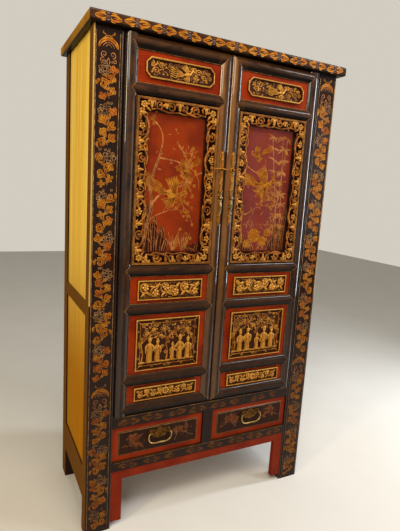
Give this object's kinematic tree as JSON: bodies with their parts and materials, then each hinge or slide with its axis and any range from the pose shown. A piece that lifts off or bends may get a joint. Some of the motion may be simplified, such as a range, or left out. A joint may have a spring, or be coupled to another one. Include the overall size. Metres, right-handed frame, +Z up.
{
  "type": "wedding cabinet",
  "caption": "Tall two-door cabinet with a mitred cornice, panelled doors on wooden pivots with carved plaques and fret borders, brass lock hardware, and drawers below.",
  "frame": {"origin": "on the floor under the middle of the cabinet", "axes": "+Z up, +X to the viewer's right, -Y to the front, where the doors and drawers open"},
  "size_m": [1.048, 0.505, 1.85],
  "materials": {
    "black_lacquer": "gloss lacquer with gold painted ornament",
    "red_lacquer": "gloss lacquer",
    "amber_wood": "glossy clear-coated timber",
    "gilt_carving": "carved and gilt, dark in its recesses",
    "brass": "polished and slightly tarnished",
    "inner_wood": "plain, uncoated"
  },
  "bodies": {
    "cabinet": {"cornice_front_rail": "black_lacquer", "cornice_rear_rail": "black_lacquer", "door_sill_rail": "black_lacquer", "drawer_rail": "black_lacquer", "drawer_divider": "black_lacquer", "left_cornice_end_rail": "black_lacquer", "left_front_post": "black_lacquer", "left_rear_post": "black_lacquer", "left_side_mid_rail": "black_lacquer", "left_side_bottom_rail": "black_lacquer", "right_cornice_end_rail": "black_lacquer", "right_front_post": "black_lacquer", "right_rear_post": "black_lacquer", "right_side_mid_rail": "black_lacquer", "right_side_bottom_rail": "black_lacquer", "front_apron": "red_lacquer", "left_apron_strip": "red_lacquer", "right_apron_strip": "red_lacquer", "left_upper_side_panel": "amber_wood", "left_lower_side_panel": "amber_wood", "right_upper_side_panel": "amber_wood", "right_lower_side_panel": "amber_wood", "top_panel": "inner_wood", "back_rails": "inner_wood", "back_boards": "inner_wood", "compartment_floor": "inner_wood", "lower_shelf": "inner_wood", "upper_shelf": "inner_wood", "board_bearers": "inner_wood", "base_board": "inner_wood", "drawer_runners": "inner_wood"},
    "lock_pin": {"lock_pin": "brass"},
    "left_door": {"left_door_pivot_stile": "black_lacquer", "left_door_meeting_stile": "black_lacquer", "left_door_rails": "black_lacquer", "left_door_picture_panel": "red_lacquer", "left_door_panels": "red_lacquer", "left_door_plaques": "gilt_carving", "left_door_fret_border": "gilt_carving", "left_door_lock_plate": "brass"},
    "left_door_pull": {"left_door_pull": "brass"},
    "left_drawer": {"left_drawer_front": "red_lacquer", "left_drawer_box": "inner_wood", "left_drawer_bottom": "inner_wood", "left_drawer_handle_plate": "brass"},
    "left_drawer_bail": {"left_drawer_bail": "brass"},
    "right_door": {"right_door_pivot_stile": "black_lacquer", "right_door_meeting_stile": "black_lacquer", "right_door_rails": "black_lacquer", "right_door_picture_panel": "red_lacquer", "right_door_panels": "red_lacquer", "right_door_plaques": "gilt_carving", "right_door_fret_border": "gilt_carving", "right_door_lock_plate": "brass"},
    "right_door_pull": {"right_door_pull": "brass"},
    "right_drawer": {"right_drawer_front": "red_lacquer", "right_drawer_box": "inner_wood", "right_drawer_bottom": "inner_wood", "right_drawer_handle_plate": "brass"},
    "right_drawer_bail": {"right_drawer_bail": "brass"}
  },
  "joints": [
    {"name": "left_door_swing", "type": "hinge", "parent": "cabinet", "child": "left_door", "pos_m": [-0.3795, -0.2095, 1.1395], "axis": [0, 0, -1], "range_deg": [0, 95]},
    {"name": "left_pull_swing", "type": "hinge", "parent": "left_door", "child": "left_door_pull", "pos_m": [-0.02325, -0.2455, 1.322], "axis": [-1, 0, 0], "range_deg": [0, 75]},
    {"name": "left_drawer_slide", "type": "slide", "parent": "cabinet", "child": "left_drawer", "axis": [0, -1, 0], "range_m": [0, 0.3]},
    {"name": "left_bail_swing", "type": "hinge", "parent": "left_drawer", "child": "left_drawer_bail", "pos_m": [-0.2135, -0.2269, 0.372], "axis": [-1, 0, 0], "range_deg": [0, 150]},
    {"name": "right_door_swing", "type": "hinge", "parent": "cabinet", "child": "right_door", "pos_m": [0.3795, -0.2095, 1.1395], "axis": [0, 0, 1], "range_deg": [0, 95]},
    {"name": "right_pull_swing", "type": "hinge", "parent": "right_door", "child": "right_door_pull", "pos_m": [0.02325, -0.2455, 1.322], "axis": [-1, 0, 0], "range_deg": [0, 75]},
    {"name": "right_drawer_slide", "type": "slide", "parent": "cabinet", "child": "right_drawer", "axis": [0, -1, 0], "range_m": [0, 0.3]},
    {"name": "right_bail_swing", "type": "hinge", "parent": "right_drawer", "child": "right_drawer_bail", "pos_m": [0.2135, -0.2269, 0.372], "axis": [-1, 0, 0], "range_deg": [0, 150]},
    {"name": "lock_pin_slide", "type": "slide", "parent": "left_door", "child": "lock_pin", "axis": [1, 0, 0], "range_m": [0, 0.037]}
  ]
}
